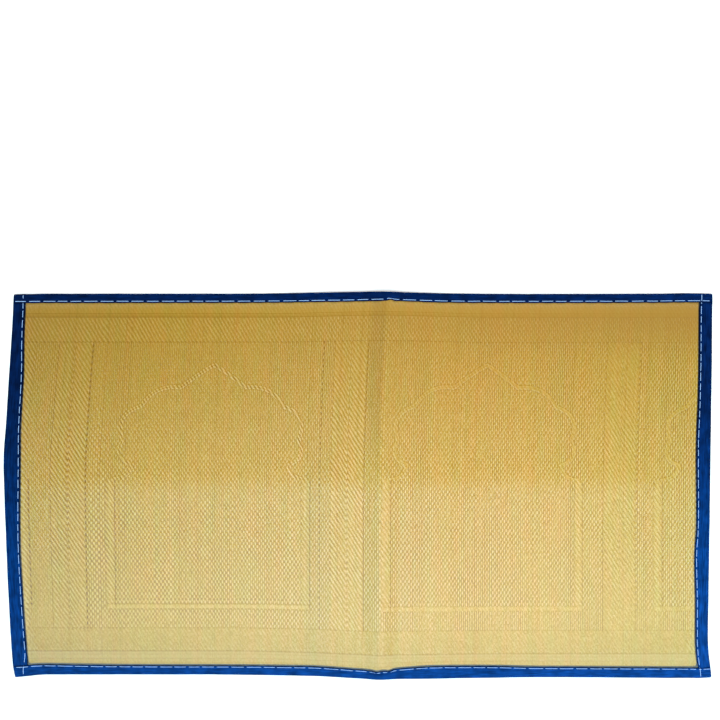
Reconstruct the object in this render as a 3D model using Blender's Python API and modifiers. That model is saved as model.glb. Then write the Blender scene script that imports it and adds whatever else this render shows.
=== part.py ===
"""A woven straw prayer mat, bound on all four sides with folded cotton tape.

The mat lies flat on its underside, at z = 0, with its long side along X and the heads of its niches
towards +Y. It was folded in half once, so a soft crease still stands up across its middle. The straw
panel is one sheet. Each edge has one tape folded over it, and the two long tapes lap over the ends of
the two short ones at the corners.
"""
import math

import bmesh
import bpy

MM = 0.001

# Driving dimensions, in metres
LENGTH = 1.218  # over the binding, where the left edge bows out furthest
WIDTH = 0.664  # over the binding, at the crease
STRAW_THICKNESS = 0.0025
TAPE_THICKNESS = 0.0008
GAP = 0.0003  # between the straw and a tape, and between two tapes

LAYER = TAPE_THICKNESS + GAP  # what one folded tape adds under or over what it binds
FOLD_REACH = STRAW_THICKNESS / 2 + GAP  # from the straw's edge to the inside of a tape's fold
BOUND_EDGE = FOLD_REACH + TAPE_THICKNESS  # from the straw's edge to the outside of the binding

# The four bound edges, in millimetres. "along" is X on the two long edges and Y on the two short ones,
# "inset" is how far the edge lies inside the overall rectangle, and "tape" is the width of tape that
# shows from above.
#    along, inset, tape
FAR_EDGE = (
    (-592, 4.6, 15.5),
    (-530, 3.4, 16.2),
    (-220, 3.4, 16.0),
    (-14, 0.7, 16.8),
    (38, 0.0, 16.4),
    (89, 1.4, 16.0),
    (158, 2.9, 16.2),
    (296, 3.8, 15.8),
    (502, 3.4, 15.8),
    (571, 2.6, 16.0),
    (609, 3.8, 15.2),
)
NEAR_EDGE = (
    (-592, 1.4, 20.0),
    (-530, 6.0, 18.0),
    (-380, 6.0, 16.2),
    (-289, 6.0, 16.0),
    (-83, 3.6, 16.8),
    (38, 0.6, 15.4),
    (72, 0.5, 18.4),
    (130, 0.4, 21.6),
    (237, 0.7, 20.2),
    (320, 1.4, 17.8),
    (571, 0.0, 18.2),
    (609, 1.4, 18.0),
)
LEFT_EDGE = (
    (-329, 20.0, 26.8),
    (-305, 15.7, 26.6),
    (-243, 11.2, 25.6),
    (-178, 7.8, 24.6),
    (-120, 5.2, 24.0),
    (5, 0.6, 27.9),
    (30, 0.0, 28.8),
    (46, 0.1, 28.8),
    (110, 4.4, 25.5),
    (180, 8.7, 25.2),
    (258, 13.8, 21.4),
    (328, 17.7, 20.4),
)
RIGHT_EDGE = (
    (-329, 2.1, 22.0),
    (-305, 4.6, 22.0),
    (-290, 6.4, 22.0),
    (-264, 7.7, 22.0),
    (-205, 6.9, 22.6),
    (-123, 5.7, 25.2),
    (-68, 4.8, 23.0),
    (70, 2.9, 24.8),
    (150, 1.8, 22.8),
    (220, 0.9, 22.5),
    (328, 0.0, 22.6),
)

# The crease, from the near edge to the far one, in millimetres: a broad swell that falls to the floor
# at its two feet, with a narrow crest on it.
#    along Y, crest X, swell, left foot, right foot, crest
CREASE = (
    (-332, 36, 9.0, 130, 235, 5.0),
    (332, 46, 7.0, 240, 140, 4.0),
)
CREST_HALF_WIDTH = 0.034

# Where the straw panel's surface is divided. The lines next to an edge follow the tape there, in
# multiples of its width, and the rest stand square to the mat, in metres.
SIDE_LINES = (0.0, 0.5, 1.0, 1.25, 1.5)
LONG_LINES = (0.0, 0.5, 1.0, 1.35, 1.7)
#    from, to, lines
LONG_STRETCHES = (
    (-0.260, 0.262, 10),
)
CROSS_STRETCHES = (
    (-0.530, -0.210, 6),
    (-0.180, -0.020, 8),
    (0.000, 0.082, 13),
    (0.104, 0.280, 8),
    (0.330, 0.540, 5),
)
FOLD_STEPS = 4  # flats around the half circle of a tape's fold


def along_table(table, column, along):
    """One column of an edge's table at a place along it, on a smooth curve that never overshoots a row."""
    rows = [(row[0] * MM, row[column] * MM) for row in table]
    if along <= rows[0][0]:
        return rows[0][1]
    if along >= rows[-1][0]:
        return rows[-1][1]
    slopes = [(b[1] - a[1]) / (b[0] - a[0]) for a, b in zip(rows, rows[1:])]
    tangents = [slopes[0]]
    for before, after in zip(slopes, slopes[1:]):
        turning = before * after <= 0
        tangents.append(0.0 if turning else 2 * before * after / (before + after))
    tangents.append(slopes[-1])
    index = max(i for i, row in enumerate(rows[:-1]) if row[0] <= along)
    (start, low), (end, high) = rows[index], rows[index + 1]
    run = end - start
    t = (along - start) / run
    rise = (3 - 2 * t) * t * t
    ease_out = t * (1 - t) * (1 - t) * run
    ease_in = t * t * (t - 1) * run
    return low + (high - low) * rise + tangents[index] * ease_out + tangents[index + 1] * ease_in


class Edge:
    """One edge of the mat: the line where the straw stops, and the width of tape over it."""

    def __init__(self, table, half_size, side):
        self.table = table
        self.half_size = half_size
        self.side = side

    def straw_stop(self, along):
        inset = along_table(self.table, 1, along)
        return self.side * (self.half_size - inset - BOUND_EDGE)

    def flange(self, along):
        """How far a tape reaches in over the straw."""
        return along_table(self.table, 2, along) - BOUND_EDGE

    def inside(self, along, widths):
        """A place this many tape widths in from where the straw stops."""
        return self.straw_stop(along) - self.side * widths * self.flange(along)


FAR = Edge(FAR_EDGE, WIDTH / 2, 1)
NEAR = Edge(NEAR_EDGE, WIDTH / 2, -1)
LEFT = Edge(LEFT_EDGE, LENGTH / 2, -1)
RIGHT = Edge(RIGHT_EDGE, LENGTH / 2, 1)


class Line:
    """A dividing line of the straw panel, beside an edge or square to the mat."""

    def __init__(self, edge=None, widths=0.0, place=0.0):
        self.edge = edge
        self.widths = widths
        self.place = place

    def at(self, along):
        return self.edge.inside(along, self.widths) if self.edge else self.place

    def lift(self, last_line):
        """The rise here onto the tape's lower half: whole under the tape, easing off to its last line."""
        if not self.edge:
            return 0.0
        t = (last_line - self.widths) / (last_line - 1.0)
        t = min(max(t, 0.0), 1.0)
        return LAYER * t * t * (3 - 2 * t)


def dividing_lines(first_edge, last_edge, widths, stretches):
    """The lines beside one edge, those square to the mat, and those beside the opposite edge."""
    lines = [Line(first_edge, width) for width in widths]
    for start, stop, count in stretches:
        step = (stop - start) / (count - 1)
        lines += [Line(place=start + step * i) for i in range(count)]
    return lines + [Line(last_edge, width) for width in reversed(widths)]


def crossing_lines():
    """The lines that run from the near edge to the far one, from left to right."""
    return dividing_lines(LEFT, RIGHT, SIDE_LINES, CROSS_STRETCHES)


def long_lines():
    """The lines that run from left to right, from the near edge to the far one."""
    return dividing_lines(NEAR, FAR, LONG_LINES, LONG_STRETCHES)


def meeting_point(crossing, long):
    """Where two dividing lines meet. Each depends a little on the other, so this closes in on it."""
    x = y = 0.0
    for _ in range(4):
        x = crossing.at(y)
        y = long.at(x)
    return x, y


def soft_bump(distance, reach):
    if abs(distance) >= reach:
        return 0.0
    return math.cos(math.pi / 2 * distance / reach) ** 2


def crease_height(x, y):
    start, end = CREASE
    t = (y / MM - start[0]) / (end[0] - start[0])
    crest_x, swell, left_foot, right_foot, crest = (
        (a + (b - a) * t) * MM for a, b in zip(start[1:], end[1:])
    )
    offset = x - crest_x
    foot = left_foot if offset < 0 else right_foot
    return swell * soft_bump(offset, foot) + crest * soft_bump(offset, CREST_HALF_WIDTH)


def underside(x, y, crossing, long):
    """The height of the straw's lower face."""
    lift = crossing.lift(SIDE_LINES[-1]) + long.lift(LONG_LINES[-1])
    return lift + crease_height(x, y)


def above(x, y, underside_height, distance):
    """The point this far from the straw's lower face, square to the slope of the crease there."""
    rise = crease_height(x + MM, y) - crease_height(x - MM, y)
    slope = math.atan(rise / (2 * MM))
    return x - math.sin(slope) * distance, y, underside_height + math.cos(slope) * distance


def placed_grid(name, columns, rows, place, material, collection):
    """A grid of columns by rows, each of whose points is put where place(column, row) says."""
    bm = bmesh.new()
    bmesh.ops.create_grid(bm, x_segments=columns - 1, y_segments=rows - 1, size=0.5)
    for vertex in bm.verts:
        column = round((vertex.co.x + 0.5) * (columns - 1))
        row = round((vertex.co.y + 0.5) * (rows - 1))
        vertex.co = place(column, row)
    mesh = bpy.data.meshes.new(name)
    bm.to_mesh(mesh)
    bm.free()
    mesh.materials.append(material)
    part = bpy.data.objects.new(name, mesh)
    collection.objects.link(part)
    return part


def thicken(part, thickness, offset):
    solidify = part.modifiers.new("thickness", "SOLIDIFY")
    solidify.thickness = thickness
    solidify.offset = offset
    solidify.use_even_offset = True
    part.data.shade_smooth()
    part.data.set_sharp_from_angle(angle=math.radians(40))


def straw_panel(material, collection):
    """The woven sheet: its lower face is placed, and its thickness goes up from there."""
    across = crossing_lines()
    down = long_lines()

    def place(column, row):
        crossing, long = across[column], down[row]
        x, y = meeting_point(crossing, long)
        return x, y, underside(x, y, crossing, long)

    panel = placed_grid("straw_panel", len(across), len(down), place, material, collection)
    thicken(panel, STRAW_THICKNESS, 1)
    return panel


def fold_section():
    """A tape's section, from its upper hem round the fold to its lower hem, as pairs of numbers: how far
    in it lies, in tape widths, and the turn around the fold, from 90 degrees above to 90 below."""
    upper = [(1.0, 90.0), (0.5, 90.0)]
    fold = [(0.0, 90.0 - 180.0 * i / FOLD_STEPS) for i in range(FOLD_STEPS + 1)]
    lower = [(0.5, -90.0), (1.0, -90.0)]
    return upper + fold + lower


def long_tape(name, edge, material, collection):
    """A tape along a long edge. Its ends lap over the short tapes, so it is a layer thicker there."""
    stations = crossing_lines()
    section = fold_section()
    last = len(stations) + 1
    edge_line = Line(edge)

    def place(column, row):
        station = stations[min(max(column - 1, 0), len(stations) - 1)]
        overhang = BOUND_EDGE * ((column == last) - (column == 0))
        x, y = meeting_point(station, edge_line)
        widths, turn = section[row]
        turn = math.radians(turn)
        lap = station.lift(SIDE_LINES[-1])
        y = edge.straw_stop(x + overhang)
        y += edge.side * (math.cos(turn) * FOLD_REACH - widths * edge.flange(x))
        x = station.at(y) + overhang
        distance = STRAW_THICKNESS / 2 + math.sin(turn) * (FOLD_REACH + lap)
        return above(x, y, LAYER + lap + crease_height(x, y), distance)

    tape = placed_grid(name, last + 1, len(section), place, material, collection)
    thicken(tape, TAPE_THICKNESS, edge.side)
    return tape


def short_tape(name, edge, material, collection):
    """A tape along a short edge. Its ends stop with the straw, inside the folds of the long tapes."""
    stations = long_lines()
    section = fold_section()
    edge_line = Line(edge)

    def place(column, row):
        station = stations[column]
        x, y = meeting_point(edge_line, station)
        widths, turn = section[row]
        turn = math.radians(turn)
        x += edge.side * (math.cos(turn) * FOLD_REACH - widths * edge.flange(y))
        middle = LAYER + station.lift(LONG_LINES[-1]) + STRAW_THICKNESS / 2
        return x, station.at(x), middle + math.sin(turn) * FOLD_REACH

    tape = placed_grid(name, len(stations), len(section), place, material, collection)
    thicken(tape, TAPE_THICKNESS, -edge.side)
    return tape


def plain_material(name, colour, roughness):
    material = bpy.data.materials.new(name)
    material.use_nodes = True
    shader = material.node_tree.nodes["Principled BSDF"]
    shader.inputs["Base Color"].default_value = (*colour, 1.0)
    shader.inputs["Roughness"].default_value = roughness
    shader.inputs["Metallic"].default_value = 0.0
    return material


def clear_scene():
    for old in list(bpy.data.objects):
        bpy.data.objects.remove(old, do_unlink=True)


def build():
    clear_scene()
    collection = bpy.data.collections.new("prayer_mat")
    bpy.context.scene.collection.children.link(collection)
    straw = plain_material("woven_straw", (0.56, 0.39, 0.12), 0.5)
    cotton = plain_material("blue_cotton_tape", (0.003, 0.035, 0.18), 0.85)
    straw_panel(straw, collection)
    long_tape("binding_far", FAR, cotton, collection)
    long_tape("binding_near", NEAR, cotton, collection)
    short_tape("binding_left", LEFT, cotton, collection)
    short_tape("binding_right", RIGHT, cotton, collection)


build()
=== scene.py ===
import math
import random

import bmesh
import bpy
import numpy as np
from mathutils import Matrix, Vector, noise


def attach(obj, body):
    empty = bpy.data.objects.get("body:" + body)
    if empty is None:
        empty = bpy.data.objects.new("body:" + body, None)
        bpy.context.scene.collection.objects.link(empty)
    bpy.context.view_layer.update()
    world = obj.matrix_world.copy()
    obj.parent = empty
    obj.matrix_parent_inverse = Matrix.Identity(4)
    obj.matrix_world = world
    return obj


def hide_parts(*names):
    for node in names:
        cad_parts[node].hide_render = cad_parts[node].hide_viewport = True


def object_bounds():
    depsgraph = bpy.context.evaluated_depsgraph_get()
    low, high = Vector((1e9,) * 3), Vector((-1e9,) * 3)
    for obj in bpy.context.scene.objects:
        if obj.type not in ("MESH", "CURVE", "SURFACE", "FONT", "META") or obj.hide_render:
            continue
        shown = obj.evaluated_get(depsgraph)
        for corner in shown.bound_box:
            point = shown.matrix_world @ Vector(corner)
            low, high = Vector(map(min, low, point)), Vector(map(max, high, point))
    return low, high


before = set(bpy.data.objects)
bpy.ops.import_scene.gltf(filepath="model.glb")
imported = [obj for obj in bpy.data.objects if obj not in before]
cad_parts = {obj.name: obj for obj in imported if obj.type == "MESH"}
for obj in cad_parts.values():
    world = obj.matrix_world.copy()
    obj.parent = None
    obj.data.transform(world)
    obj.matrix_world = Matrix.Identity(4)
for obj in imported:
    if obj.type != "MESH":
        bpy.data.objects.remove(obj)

MM = 0.001
cad_low, cad_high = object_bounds()

# ---- Sizes of the mat, as it is built: overall from the frame, the rest in millimetres ----

HALF_LENGTH = (cad_high.x - cad_low.x) / 2
HALF_WIDTH = (cad_high.y - cad_low.y) / 2
STRAW_THICKNESS = 2.5 * MM
CAD_TAPE = 0.8 * MM
GAP = 0.3 * MM
LAYER = CAD_TAPE + GAP
FOLD_REACH = STRAW_THICKNESS / 2 + GAP
BOUND_EDGE = FOLD_REACH + CAD_TAPE

# The bound edges: place along the edge, inset from the overall rectangle, width of tape that shows.
FAR_EDGE = (
    (-592, 4.6, 15.5),
    (-530, 3.4, 16.2),
    (-220, 3.4, 16.0),
    (-14, 0.7, 16.8),
    (38, 0.0, 16.4),
    (89, 1.4, 16.0),
    (158, 2.9, 16.2),
    (296, 3.8, 15.8),
    (502, 3.4, 15.8),
    (571, 2.6, 16.0),
    (609, 3.8, 15.2),
)
NEAR_EDGE = (
    (-592, 1.4, 20.0),
    (-530, 6.0, 18.0),
    (-380, 6.0, 16.2),
    (-289, 6.0, 16.0),
    (-83, 3.6, 16.8),
    (38, 0.6, 15.4),
    (72, 0.5, 18.4),
    (130, 0.4, 21.6),
    (237, 0.7, 20.2),
    (320, 1.4, 17.8),
    (571, 0.0, 18.2),
    (609, 1.4, 18.0),
)
LEFT_EDGE = (
    (-329, 20.0, 26.8),
    (-305, 15.7, 26.6),
    (-243, 11.2, 25.6),
    (-178, 7.8, 24.6),
    (-120, 5.2, 24.0),
    (5, 0.6, 27.9),
    (30, 0.0, 28.8),
    (46, 0.1, 28.8),
    (110, 4.4, 25.5),
    (180, 8.7, 25.2),
    (258, 13.8, 21.4),
    (328, 17.7, 20.4),
)
RIGHT_EDGE = (
    (-329, 2.1, 22.0),
    (-305, 4.6, 22.0),
    (-290, 6.4, 22.0),
    (-264, 7.7, 22.0),
    (-205, 6.9, 22.6),
    (-123, 5.7, 25.2),
    (-68, 4.8, 23.0),
    (70, 2.9, 24.8),
    (150, 1.8, 22.8),
    (220, 0.9, 22.5),
    (328, 0.0, 22.6),
)

# The crease across the middle, near edge then far edge: along Y, crest X, swell, left and right foot, crest.
CREASE = (
    (-332, 36, 9.0, 130, 235, 5.0),
    (332, 46, 7.0, 240, 140, 4.0),
)
CREST_HALF_WIDTH = 34 * MM

# How far the rise onto a tape eases off past its inner hem, in tape widths.
SIDE_EASE = 0.5
LONG_EASE = 0.7


# ---- Sizes of the weave ----

STRAW = 1.643 * MM  # from one straw to the next
WARP = 2.53 * MM  # from one warp thread to the next
STRAW_WANDER = 1.2 * MM  # how far a run of thicker or thinner straws shifts the ones after it
# The straws bend aside towards the far edge: from this far across, and by this much when as far again
BEND_FROM = -86 * MM
BEND_REACH = 310 * MM
STRAW_BEND = 8.1 * MM
REPEAT = 468 * MM  # from one niche to the next along the web
NICHE_AT = 214.7 * MM  # the middle of the niche right of the crease
WEB_WIDTH = 649.4 * MM  # of straw, between the two long edges
SELVEDGE = 38.9 * MM
FIELD_FAR = 244.0 * MM  # the field, between the two long borders
FIELD_NEAR = -246.6 * MM
BAND_HALF = 28 * MM  # of the band halfway between two niches
COLUMN_IN = 158.9 * MM
COLUMN_OUT = 173.6 * MM
JAMB_SHIFT = -2.2 * MM  # both jambs of a niche, from its middle
SILL = -213.2 * MM  # the foot of the niche, from the middle of the web
SHOULDER = 9.0 * MM
ARCH_LINE = 3.2 * MM
END_STRIP = -553.4 * MM  # where the twill at the web's left end stops
END_GAP = -515.0 * MM  # and where the plain ground beside it stops

# Half of the niche's head: across from its middle, up from the middle of the web, and how far the foil that
# follows swells out, as a share of its chord.
FOILS = (
    (0, 205, 0.02),
    (55, 166, 0.17),
    (121, 134, 0.27),
    (149, 76, 0.30),
    (132, 34, -0.20),
    (163, 9, 0.0),
)
FOIL_STEPS = 10

# How much lighter a straw's float is painted than the dips beside it, as a share of its brightness: painted
# light on the floats, painted shade in the dips.
NEAR_DEPTH = (0.45, 0.22)  # of the ground, at the left end of the web and at the right
FAR_DEPTH = (0.03, 0.21)
BORDER_DEPTH = (0.27, 0.17)
BAND_DEPTH = (0.40, 0.21)  # of the bands left of the middle, and of the last one at the right
LINE_FADE = (1.15, 0.55)
STRIP_DEPTH = 0.32
COLUMN_DEPTH = (0.42, 0.20)  # at the left jamb of the left niche, and from the middle on
ARCH_DEPTH = (0.58, 0.10)  # of the left niche and of the others
SELVEDGE_DEPTH = 0.08
SILL_DEPTH = 0.06
GAP_DEPTH = 0.16
PAIR_GAP = (-0.20, -0.55)  # the painted shade in the gap between two pairs of straws, where they lie close and where they lie loose

# Lines where the weave changes and the straws dip, with painted shade in them, and painted light where the
# shade is below 0: place, half width, shade (below 0 it is lighter), and the share of the line that only
# shows between the floats, as dots.
# Across the web, from its middle.
CROSS_LINES = (
    (244.0, 1.0, 0.14, 0.4),
    (287.0, 1.0, 0.22, 0.1),
    (289.6, 0.9, 0.12, 0.1),
    (292.5, 0.9, 0.18, 0.1),
    (-242.8, 1.2, -0.05, 0.0),
    (-246.6, 1.0, 0.14, 0.4),
    (-282.0, 1.6, -0.05, 0.0),
    (-286.2, 1.0, 0.20, 0.2),
    (-291.5, 0.9, 0.09, 0.0),
    (-299.0, 0.9, 0.10, 0.0),
    (-306.0, 0.9, 0.09, 0.0),
)
# Along the web, from the middle of a band.
BAND_LINES = (
    (28.8, 0.9, 0.30, 0.4),
    (0.0, 0.8, 0.10, 0.9),
    (-28.6, 0.9, 0.16, 0.5),
)
# From the middle of a niche: the right side of each jamb has the deeper line.
COLUMN_LINES = (
    (-175.0, 0.9, 0.09, 0.2),
    (-167.5, 3.4, -0.07, 0.0),
    (-160.0, 0.9, 0.24, 0.3),
    (155.6, 0.9, 0.10, 0.3),
    (163.6, 3.0, -0.06, 0.0),
    (170.6, 1.0, 0.30, 0.3),
)
# At the foot of a niche, up from the middle of the web.
SILL_LINES = (
    (-197.4, 1.0, 0.08, 0.4),
    (-201.0, 1.3, -0.10, 0.0),
    (-205.0, 1.0, 0.17, 0.2),
    (-209.8, 2.4, -0.13, 0.0),
    (-214.4, 1.0, 0.14, 0.3),
)
# One run of dark stems, left of the middle band: place along the web.
STEM_LINES = (
    (-66.4, 0.9, 0.26, 0.8),
)

# ---- Sizes of the tape and the stitches ----

TAPE_THICKNESS = 0.55 * MM
THREAD_RADIUS = 0.38 * MM
VEER_FROM = -285 * MM  # where the left seam leaves its hem, and over what length
VEER_REACH = 45 * MM
SEAM_IN = 2.8 * MM  # from a tape's inner hem out to its seam
END_SHORT = 1.4 * MM  # a long tape's ends stop this far inside the short tapes' folds
#    stitch length, gap
FAR_STITCH = (21.0 * MM, 4.0 * MM)
NEAR_STITCH = (23.0 * MM, 3.0 * MM)
LEFT_STITCH = (14.5 * MM, 4.0 * MM)
RIGHT_STITCH = (13.5 * MM, 3.3 * MM)
# The painted shadow of the tapes' hems on the straw: solid up to the first of these from the hem, and gone at
# the second.
HEM_SHADOW_REACH = (1.2 * MM, 2.3 * MM)
NEAR_SHADOW_EXTRA = 0.8 * MM  # how much further in the near tape's painted hem shadow reaches
# Where a tape's inner hem draws back over the crease: place along the edge, reach each way, how far.
FAR_DIPS = (
    (55 * MM, 8 * MM, 2.2 * MM),
)
NEAR_DIPS = (
    (32 * MM, 9 * MM, 1.6 * MM),
    (52 * MM, 9 * MM, 1.6 * MM),
)


def along_table(table, column, along):
    """One column of an edge's table at a place along it, on a smooth curve that never overshoots a row."""
    rows = [(row[0] * MM, row[column] * MM) for row in table]
    if along <= rows[0][0]:
        return rows[0][1]
    if along >= rows[-1][0]:
        return rows[-1][1]
    slopes = [(b[1] - a[1]) / (b[0] - a[0]) for a, b in zip(rows, rows[1:])]
    tangents = [slopes[0]]
    for before, after in zip(slopes, slopes[1:]):
        turning = before * after <= 0
        tangents.append(0.0 if turning else 2 * before * after / (before + after))
    tangents.append(slopes[-1])
    index = max(i for i, row in enumerate(rows[:-1]) if row[0] <= along)
    (start, low), (end, high) = rows[index], rows[index + 1]
    run = end - start
    t = (along - start) / run
    rise = (3 - 2 * t) * t * t
    ease_out = t * (1 - t) * (1 - t) * run
    ease_in = t * t * (t - 1) * run
    return low + (high - low) * rise + tangents[index] * ease_out + tangents[index + 1] * ease_in


def smooth_step(t):
    """From 0 to 1, easing in and out."""
    t = min(max(t, 0.0), 1.0)
    return t * t * (3 - 2 * t)


def soft_bump(distance, reach):
    """A round bump of height 1, gone at its reach."""
    if abs(distance) >= reach:
        return 0.0
    return math.cos(math.pi / 2 * distance / reach) ** 2


class Edge:
    """One edge of the mat: the line where the straw stops, and the tape that is folded over it."""

    STEP = 1 * MM

    def __init__(self, table, half_size, side, dips=()):
        self.side = side
        self.half_size = half_size
        self.first = table[0][0] * MM - self.STEP * 20
        count = round((table[-1][0] * MM + self.STEP * 20 - self.first) / self.STEP) + 1
        places = [self.first + self.STEP * i for i in range(count)]
        self.insets = [along_table(table, 1, place) for place in places]
        self.widths = [along_table(table, 2, place) for place in places]
        self.drawn = [sum(far * soft_bump(place - at, reach) for at, reach, far in dips) for place in places]

    def read(self, values, along):
        t = (along - self.first) / self.STEP
        index = min(max(int(t), 0), len(values) - 2)
        t -= index
        return values[index] * (1 - t) + values[index + 1] * t

    def inset(self, along):
        return self.read(self.insets, along)

    def straw_stop(self, along):
        return self.side * (self.half_size - self.inset(along) - BOUND_EDGE)

    def flange(self, along):
        return self.read(self.widths, along) - BOUND_EDGE

    def hem(self, along):
        """From the straw's stop in to the hem, which draws back over the crease."""
        return self.flange(along) - self.read(self.drawn, along)

    def depth(self, along, place):
        """How far inside the straw's stop a place is, in tape widths."""
        return self.side * (self.straw_stop(along) - place) / self.flange(along)


FAR = Edge(FAR_EDGE, HALF_WIDTH, 1, FAR_DIPS)
NEAR = Edge(NEAR_EDGE, HALF_WIDTH, -1, NEAR_DIPS)
LEFT = Edge(LEFT_EDGE, HALF_LENGTH, -1)
RIGHT = Edge(RIGHT_EDGE, HALF_LENGTH, 1)


def crease_height(x, y):
    start, end = CREASE
    t = (y / MM - start[0]) / (end[0] - start[0])
    crest_x, swell, left_foot, right_foot, crest = (
        (a + (b - a) * t) * MM for a, b in zip(start[1:], end[1:])
    )
    offset = x - crest_x
    foot = left_foot if offset < 0 else right_foot
    return swell * soft_bump(offset, foot) + crest * soft_bump(offset, CREST_HALF_WIDTH)


def side_lap(x, y):
    """From 0 to 1: whether a short edge's tape lies under this place."""
    depth = min(LEFT.depth(y, x), RIGHT.depth(y, x))
    return smooth_step((1 + SIDE_EASE - depth) / SIDE_EASE)


def long_lap(x, y):
    """From 0 to 1: whether a long edge's tape lies under this place."""
    depth = min(NEAR.depth(x, y), FAR.depth(x, y))
    return smooth_step((1 + LONG_EASE - depth) / LONG_EASE)


def straw_floor(x, y):
    """The height of the straw's lower face."""
    return LAYER * (side_lap(x, y) + long_lap(x, y)) + crease_height(x, y)


def straw_slope(x, y):
    rise = crease_height(x + MM, y) - crease_height(x - MM, y)
    return math.atan(rise / (2 * MM))


# ---- Making meshes ----


def placed_grid(bm, columns, rows, place):
    """A grid of columns by rows, each of whose points is put where place(column, row) says."""
    made = bmesh.ops.create_grid(bm, x_segments=columns - 1, y_segments=rows - 1, size=0.5)
    spots = {}
    for vertex in made["verts"]:
        column = round((vertex.co.x + 0.5) * (columns - 1))
        row = round((vertex.co.y + 0.5) * (rows - 1))
        vertex.co = place(column, row)
        spots[vertex] = (column, row)
    return spots


def new_piece(name, bm, material, smooth=True):
    """Makes the piece of a finished bmesh, which rides with the mat."""
    mesh = bpy.data.meshes.new(name)
    bm.to_mesh(mesh)
    bm.free()
    mesh.materials.append(material)
    piece = bpy.data.objects.new(name, mesh)
    bpy.context.scene.collection.objects.link(piece)
    if smooth:
        mesh.shade_smooth()
    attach(piece, "root")
    return piece


def write_attribute(piece, name, values):
    """Stores a vector at each point, which the material reads to lay its weave along the cloth."""
    attribute = piece.data.attributes.new(name, "FLOAT_VECTOR", "POINT")
    attribute.data.foreach_set("vector", np.asarray(values, dtype=np.float32).ravel())


def thicken(piece, thickness, offset):
    solidify = piece.modifiers.new("thickness", "SOLIDIFY")
    solidify.thickness = thickness
    solidify.offset = offset
    solidify.use_even_offset = True


# ---- The straw panel ----

COLUMN_STEP = 4.0 * MM
ROW_STEP = 6.0 * MM


# The web's two long edges as they lie: the near one steps out left of the middle, the far one at the crease.
WEB_NEAR = -323.7 * MM
NEAR_STEP = 5.2 * MM
WEB_FAR = 326.2 * MM
FAR_STEP = 3.5 * MM
# At the left end the straws follow the bowed edge, less and less up to the crease, and lie further apart.
DEEPEST_BOW = 17.7 * MM
BOW_FADE = 3.5
END_SPREAD = 3.2 * MM


def straw_place(x, y):
    """Where a point lies along the web, as if its straws were straight and square to its long edges."""
    near_stop = WEB_NEAR - NEAR_STEP * smooth_step((x + 0.22) / 0.26)
    far_stop = WEB_FAR + FAR_STEP * soft_bump(x - 0.038, 0.2)
    across = (y - near_stop) / (far_stop - near_stop)
    along = x - STRAW_BEND * (max(0.0, y - BEND_FROM) / BEND_REACH) ** 2
    bow = max(0.0, DEEPEST_BOW - LEFT.inset(y))
    fade = max(0.0, 1 - (x + HALF_LENGTH) / (HALF_LENGTH + CREASE[0][1] * MM)) ** BOW_FADE
    spread = END_SPREAD * smooth_step((-0.425 - x) / 0.04)
    return along + bow * fade + spread, (across - 0.5) * WEB_WIDTH


def head_points():
    """The right half of the niche's outline, as points along its foils and down its jamb."""
    points = []
    for (x0, y0, swell), (x1, y1, _) in zip(FOILS, FOILS[1:]):
        start, end = Vector((x0, y0)) * MM, Vector((x1, y1)) * MM
        out = Vector((start.y - end.y, end.x - start.x))
        for step in range(FOIL_STEPS):
            t = step / FOIL_STEPS
            points.append(start.lerp(end, t) + out * swell * 4 * t * (1 - t))
    points.append(Vector(FOILS[-1][:2]) * MM)
    points.append(Vector((FOILS[-1][0] * MM, -HALF_WIDTH)))
    return np.array(points)


def distance_to_head(places):
    """From each place on the web to the outline of the nearest niche, below nought inside it."""
    head = head_points()
    across = (places[:, 0] - NICHE_AT + REPEAT / 2) % REPEAT - REPEAT / 2
    spots = np.stack([np.abs(across), places[:, 1]], axis=1)
    nearest = np.full(len(spots), 1.0)
    inside = np.zeros(len(spots), dtype=bool)
    for start, end in zip(head, head[1:]):
        run = end - start
        t = np.clip(((spots - start) @ run) / (run @ run), 0, 1)
        gap = np.linalg.norm(spots - start - t[:, None] * run, axis=1)
        nearest = np.minimum(nearest, gap)
        level = (start[1] > spots[:, 1]) != (end[1] > spots[:, 1])
        crossing = start[0] + (spots[:, 1] - start[1]) * run[0] / (run[1] or 1.0)
        inside ^= level & (spots[:, 0] < crossing)
    return np.where(inside, -nearest, nearest)


# Where the mat was folded lengthwise for storage: height left, and how far it reaches each way.
LENGTHWISE_FOLD = (0.8 * MM, 70 * MM)
FOLD_ROUNDING = 14 * MM
# The sharper crest at the far end of the crease: height, how far it reaches each way, where it dies out.
CREST_RIDGE = (1.7 * MM, 11 * MM, 170 * MM)


def cockle(x, y):
    """The slight unevenness of straw that was rolled and folded, long along the straws."""
    broad = noise.noise(Vector((x / 0.11, y / 0.45, 0.3)))
    fine = noise.noise(Vector((x / 0.035, y / 0.22, 4.1)))
    depth = min(LEFT.depth(y, x), RIGHT.depth(y, x), NEAR.depth(x, y), FAR.depth(x, y))
    unevenness = smooth_step((depth - 1.2) / 2) * (0.35 + 0.35 * broad + 0.12 * fine)
    off_fold = math.hypot(y, FOLD_ROUNDING) - FOLD_ROUNDING
    fold = smooth_step((depth - 1.2) / 4) * (1 - min(off_fold / LENGTHWISE_FOLD[1], 1)) ** 2
    height, reach, start = CREST_RIDGE
    crest = smooth_step((y - start) / (HALF_WIDTH - start)) * soft_bump(x - CREASE[1][1] * MM, reach)
    # The far tape holds the straw beneath it down
    crest *= 0.5 + 0.5 * smooth_step(FAR.depth(x, y) - 1.1)
    return MM * max(0.0, unevenness) + LENGTHWISE_FOLD[0] * fold + height * crest


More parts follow.
